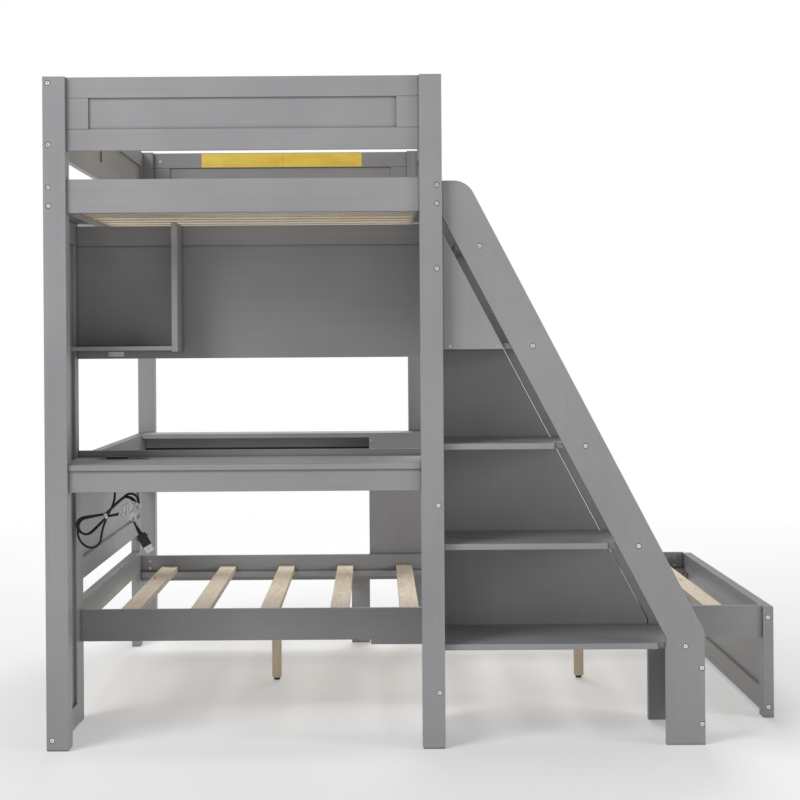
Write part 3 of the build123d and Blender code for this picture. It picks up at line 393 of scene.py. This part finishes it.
def finish_nodes(nodes):
    """Give every CAD node its material."""
    paints = [paint(axis) for axis in range(3)]
    choice = {}
    for names, material in zip((PAINTED_ALONG_X, PAINTED_ALONG_Y, PAINTED_ALONG_Z), paints):
        choice.update({name: material for name in names})
    choice.update({
        "upper_slats": pine(0, shaded_axis=1),
        "lower_slats": pine(1, shaded_axis=0),
        "centre_legs": pine(2, tint=0.72),
        "guard_labels": label_film(),
        "power_unit": moulded_plastic("unit_plastic", *UNIT_BLACK, 0.36),
        "leg_caps": moulded_plastic("cap_plastic", *CAP_BLACK, 0.5),
        "back_trim_strip": moulded_plastic("strip_plastic", *STRIP_BLACK, 0.42),
        "plug_body": moulded_plastic("plug_rubber", *PLUG_BLACK, 0.44),
        "plug_prongs": plated_steel("prong_nickel", (0.66, 0.63, 0.57), 2, 0.24),
        "plug_cap": clear_cover(),
        "connector_bolts": plated_steel("bolt_zinc", (0.95, 0.955, 0.965), 0, 0.34),
        "barrel_nuts": plated_steel("nut_zinc", (0.62, 0.63, 0.65), 2, 0.34),
        "wood_screws": plated_steel("screw_zinc", (0.66, 0.66, 0.64), 1, 0.30),
        "hutch_bracket": plated_steel("bracket_zinc", (0.60, 0.61, 0.62), 0, 0.34),
    })
    sheath = cord_sheath()
    for name in ("cord_relief", "cord_drop", "cord_hank", "cord_tail"):
        choice[name] = sheath
    choice["cord_tie"] = tie_wrap()
    choice["cord_tag"] = tag_film()
    for name, piece in nodes.items():
        material = choice[name]
        if not piece.material_slots:
            piece.data.materials.append(material)
        for material_slot in piece.material_slots:
            material_slot.material = material
    return sheath, choice["cord_tie"], choice["cord_tag"]


# ---------------------------------------------------------------- cord
def hank_point(u, v, w):
    """A point of the hank: u along it, v across it, w towards the front."""
    across = Vector((-sin(HANK_TILT), 0, cos(HANK_TILT)))
    lengthwise = Vector((cos(HANK_TILT), 0, sin(HANK_TILT)))
    return HANK_CENTRE + u * lengthwise + v * across + Vector((0, -w, 0))


def strand(loop, side, w, steps):
    """Points of one strand between an end loop and the tie; side is 1 above and -1 below."""
    u, v, radius = loop
    rise = side * radius + v
    return [hank_point(u * (1 - f), rise + (side * WAIST_V - rise) * f, w) for f in steps]


def arc(before, after, w, angles, shares):
    """Points round an end loop that changes from one size and depth to the next on the way."""
    points = []
    for angle, share in zip(angles, shares):
        u, v, radius = (a + (b - a) * share for a, b in zip(before, after))
        u += radius * cos(radians(angle))
        v += radius * sin(radians(angle))
        points.append(hank_point(u, v, w + share * HANK_PITCH))
    return points


def hank_turns():
    """Control points of the turns: each is squeezed together where the tie holds it, and steps
    forward by one pitch as it rounds the left loop. The last half turn runs on to the plug."""
    points = []
    inward, outward = STRAND_STEPS, STRAND_STEPS[::-1]
    before = HANK_TURNS[0][0]
    w = -HANK_PITCH
    for turn, (left, right) in enumerate(HANK_TURNS):
        points += arc(before, left, w - HANK_PITCH, (180, 140, 100), (1 / 2, 2 / 3, 5 / 6))
        points += strand(left, 1, w, inward)
        points += [hank_point(0, WAIST_V, w)]
        points += strand(right, 1, w, outward)
        if turn == len(HANK_TURNS) - 1:
            break
        points += arc(right, right, w, (80, 40, 0, -40, -80), (0,) * 5)
        points += strand(right, -1, w, inward)
        points += [hank_point(0, -WAIST_V, w)]
        points += strand(left, -1, w, outward)
        before = left
        points += arc(left, HANK_TURNS[turn + 1][0], w, (-100, -140), (1 / 6, 1 / 3))
        w += HANK_PITCH
    return points + arc(right, right, w, (80, 40, 0), (0,) * 3)


def power_cord(sheath, tie, tag):
    """The whole cord as one smooth curve: drop, lower loop, hank and tail to the plug."""
    points = [*CORD_DROP, *hank_turns(), *CORD_TAIL]
    line = bpy.data.curves.new("power_cord", "CURVE")
    line.dimensions = "3D"
    line.bevel_depth = CORD_D / 2
    line.bevel_resolution = 6
    line.resolution_u = 10
    line.use_fill_caps = True
    spline = line.splines.new("NURBS")
    spline.points.add(len(points) - 1)
    for control, place in zip(spline.points, points):
        control.co = (*place, 1.0)
    spline.order_u = 3
    spline.use_endpoint_u = True
    line.materials.append(sheath)
    cord = bpy.data.objects.new("power_cord", line)
    bpy.context.collection.objects.link(cord)
    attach(cord, "root")
    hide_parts("cord_drop", "cord_hank", "cord_tail")


def rounded_ring(count):
    """Unit points round a squarish loop."""
    points = []
    for i in range(count):
        angle = 2 * pi * i / count
        corner = (cos(angle), sin(angle))
        points.append([copysign(abs(c) ** TIE_SQUARENESS, c) for c in corner])
    return points


def tube_faces(mesh, rings, closed):
    """Skin a list of vertex rings; closed joins the last ring to the first, else they are capped."""
    count = len(rings[0])
    following = rings[1:] + rings[:1] if closed else rings[1:]
    for near, far in zip(rings, following):
        for i in range(count):
            j = (i + 1) % count
            mesh.faces.new((near[i], near[j], far[j], far[i]))
    if not closed:
        mesh.faces.new(rings[0][::-1])
        mesh.faces.new(rings[-1])


def tie_band(mesh):
    """Vertex rings of the creased band: its inner side, then back along its outer side."""
    rings = []
    steps = (-1, -0.5, 0, 0.5, 1)
    profile = [(0, step) for step in steps] + [(TIE_T, step) for step in reversed(steps)]
    for v, w in rounded_ring(TIE_POINTS):
        outline = []
        for thickness, step in profile:
            flare = 1 + TIE_FLARE * step * step
            out = thickness + TIE_CREASE * noise.noise(Vector((step * 2, v * 4, w * 4)))
            height, depth = (half * flare + out for half in TIE_HALF)
            outline.append(mesh.verts.new(hank_point(step * TIE_W / 2, v * height, w * depth)))
        rings.append(outline)
    return rings


def tie_ends(mesh):
    """Vertex rings of the two ends, twisted together and hanging from the band."""
    rings = []
    for i in range(TIE_END_STEPS + 1):
        t = i / TIE_END_STEPS
        below = -TIE_HALF[0] - 0.0004 - 0.4 * TIE_END * t
        centre = hank_point(0.002 + 0.004 * t, below, 0.011 + 0.002 * sin(3 * t))
        centre.z -= 0.6 * TIE_END * t
        turn = Matrix.Rotation(TIE_END_TWIST * t, 3, "Z")
        ring = []
        for k in range(TIE_END_POINTS):
            angle = 2 * pi * k / TIE_END_POINTS
            offset = Vector((TIE_END_HALF[0] * cos(angle), TIE_END_HALF[1] * sin(angle), 0))
            ring.append(mesh.verts.new(centre + turn @ offset))
        rings.append(ring)
    return rings


def twist_tie(material):
    """Paper-covered tie round the hank's middle: a creased band and two ends twisted together."""
    mesh = bmesh.new()
    tube_faces(mesh, tie_band(mesh), closed=True)
    tube_faces(mesh, tie_ends(mesh), closed=False)
    bmesh.ops.recalc_face_normals(mesh, faces=mesh.faces)
    tie = mesh_piece("twist_tie", mesh, material)
    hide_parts("cord_tie")
    return tie


def tag_point(s, t):
    """Place on the crumpled film; s and t run from -0.5 to 0.5 across it."""
    ridge = noise.ridged_multi_fractal(Vector((s * 5, t * 2.2, 3.1)), 1.0, 2.1, 3, 1.0, 2.0)
    fold = noise.noise(Vector((s * 7, t * 3, 9.7)))
    lift = TAG_CRUMPLE[0] * (ridge - 1.4) + TAG_CRUMPLE[1] * fold
    ragged = TAG_RAGGED * noise.noise(Vector((s * 9, t * 9, 1.3)))
    x, y = s * TAG_SIZE[0] + ragged, t * TAG_SIZE[1] + ragged
    u = TAG_CENTRE[0] + x * cos(TAG_TURN) - y * sin(TAG_TURN)
    v = TAG_CENTRE[1] + x * sin(TAG_TURN) + y * cos(TAG_TURN)
    place = hank_point(u, v, TAG_CENTRE[2] + lift)
    corner = max(0.0, 1 - (place - TAG_HELD).length / TAG_FOLD)
    place.y += TAG_DROP * corner * corner * (3 - 2 * corner)
    return place


def film_tag(material):
    """Crumpled square of film folded over the cord at its lowest corner."""
    mesh = bmesh.new()
    steps = [i / TAG_CELLS - 0.5 for i in range(TAG_CELLS + 1)]
    grid = [[mesh.verts.new(tag_point(s, t)) for t in steps] for s in steps]
    for near, far in zip(grid, grid[1:]):
        for j in range(TAG_CELLS):
            mesh.faces.new((near[j], near[j + 1], far[j + 1], far[j]))
    tag = mesh_piece("film_tag", mesh, material)
    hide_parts("cord_tag")
    return tag


def mesh_piece(name, mesh, material):
    """Turn a bmesh into a smooth-shaded piece that rides on the bed."""
    data = bpy.data.meshes.new(name)
    mesh.to_mesh(data)
    mesh.free()
    data.materials.append(material)
    data.shade_smooth()
    piece = bpy.data.objects.new(name, data)
    bpy.context.collection.objects.link(piece)
    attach(piece, "root")
    return piece


# ---------------------------------------------------------------- studio
AMBIENT = 0.31
FLOOR_REACH = 60.0
FLOOR_Z = -0.0005                   # just under the feet, so that the two faces don't coincide
FLOOR_FADE = (1.0, 6.0, 0.25, 1.0)  # distances from the middle, and the share of white at each
LIGHTS = (                          # name, place, size, power
    ("key", (-3.5, -4.5, 4.5), 2.5, 200.0),
    ("side", (6.0, -3.5, 1.8), 2.0, 138.0),
    ("back", (0.0, 5.0, 5.0), 3.0, 250.0),
)
LIGHT_AIM = Vector((0, 0, 0.8))
CAMERA_PLACE = (-0.1243, -6.015, 1.0755)
CAMERA_ROLL = radians(-0.39)
CAMERA_SENSOR = 36.0
CAMERA_LENS = 84.4
CAMERA_SHIFT = (0.0294, -0.0675)


def pale_floor():
    """Matt pale floor that fades into the backdrop's white away from the object."""
    material, tree, shader = blank("studio_floor")
    mottle = noise_at(tree, (1.5, 1.5, 1.5), 3.0, 0.5)
    tone = blend_colour(tree, spread(tree, mottle, 0.3, 0.7), (0.90, 0.90, 0.90), (0.93, 0.93, 0.93))
    tree.links.new(tone, shader.inputs["Base Color"])
    shader.inputs["Roughness"].default_value = 0.7
    shader.inputs["Specular IOR Level"].default_value = 0.2
    place = put(tree, "ShaderNodeTexCoord").outputs["Object"]
    distance = put(tree, "ShaderNodeVectorMath", {0: place}, operation="LENGTH").outputs["Value"]
    fade = spread(tree, distance, *FLOOR_FADE)
    white = put(tree, "ShaderNodeEmission", {"Color": (1, 1, 1, 1), "Strength": 1.0})
    mixed = put(tree, "ShaderNodeMixShader", {0: fade, 1: shader.outputs[0], 2: white.outputs[0]})
    tree.links.new(mixed.outputs[0], tree.nodes["Material Output"].inputs["Surface"])
    return material


def studio_world():
    """White backdrop; its light on the object is softer than the white that the camera sees."""
    world = bpy.data.worlds.new("studio")
    world.use_nodes = True
    tree = world.node_tree
    seen = put(tree, "ShaderNodeLightPath").outputs["Is Camera Ray"]
    background = tree.nodes["Background"]
    background.inputs["Color"].default_value = (1.0, 1.0, 1.0, 1.0)
    tree.links.new(spread(tree, seen, 0.0, 1.0, AMBIENT, 1.0), background.inputs["Strength"])
    bpy.context.scene.world = world


def lay_floor():
    """One large plane that belongs to the stage."""
    floor_mesh = bpy.data.meshes.new("studio_floor")
    signs = ((-1, -1), (1, -1), (1, 1), (-1, 1))
    corners = [(x * FLOOR_REACH, y * FLOOR_REACH, FLOOR_Z) for x, y in signs]
    floor_mesh.from_pydata(corners, [], [(0, 1, 2, 3)])
    floor = bpy.data.objects.new("studio_floor", floor_mesh)
    floor_mesh.materials.append(pale_floor())
    bpy.context.collection.objects.link(floor)


def hang_lights():
    """Soft square lights, all aimed at the middle of the bed."""
    for name, place, size, power in LIGHTS:
        light = bpy.data.lights.new(name, "AREA")
        light.shape = "SQUARE"
        light.size = size
        light.energy = power
        lamp = bpy.data.objects.new(name, light)
        lamp.location = place
        aim = LIGHT_AIM - lamp.location
        lamp.rotation_euler = aim.to_track_quat("-Z", "Y").to_euler()
        bpy.context.collection.objects.link(lamp)


def set_camera():
    """Camera straight in front, level, and turned by a fraction of a degree in its own plane."""
    lens = bpy.data.cameras.new("camera")
    lens.sensor_width = CAMERA_SENSOR
    lens.lens = CAMERA_LENS
    lens.shift_x, lens.shift_y = CAMERA_SHIFT
    lens.clip_end = 2 * FLOOR_REACH
    camera = bpy.data.objects.new("camera", lens)
    level = Matrix.Rotation(radians(90), 4, "X") @ Matrix.Rotation(CAMERA_ROLL, 4, "Z")
    camera.matrix_world = Matrix.Translation(CAMERA_PLACE) @ level
    bpy.context.collection.objects.link(camera)
    bpy.context.scene.camera = camera
    bpy.context.scene.view_settings.view_transform = "Standard"


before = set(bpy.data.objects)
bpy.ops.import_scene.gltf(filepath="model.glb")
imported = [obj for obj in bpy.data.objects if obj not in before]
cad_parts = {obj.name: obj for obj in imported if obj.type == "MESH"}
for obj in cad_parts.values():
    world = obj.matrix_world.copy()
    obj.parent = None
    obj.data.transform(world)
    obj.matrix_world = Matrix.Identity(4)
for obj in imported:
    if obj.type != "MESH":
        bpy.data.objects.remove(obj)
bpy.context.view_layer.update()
sheath, tie_material, tag_material = finish_nodes(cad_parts)
power_cord(sheath, twist_tie(tie_material), film_tag(tag_material))
studio_world()
lay_floor()
hang_lights()
set_camera()
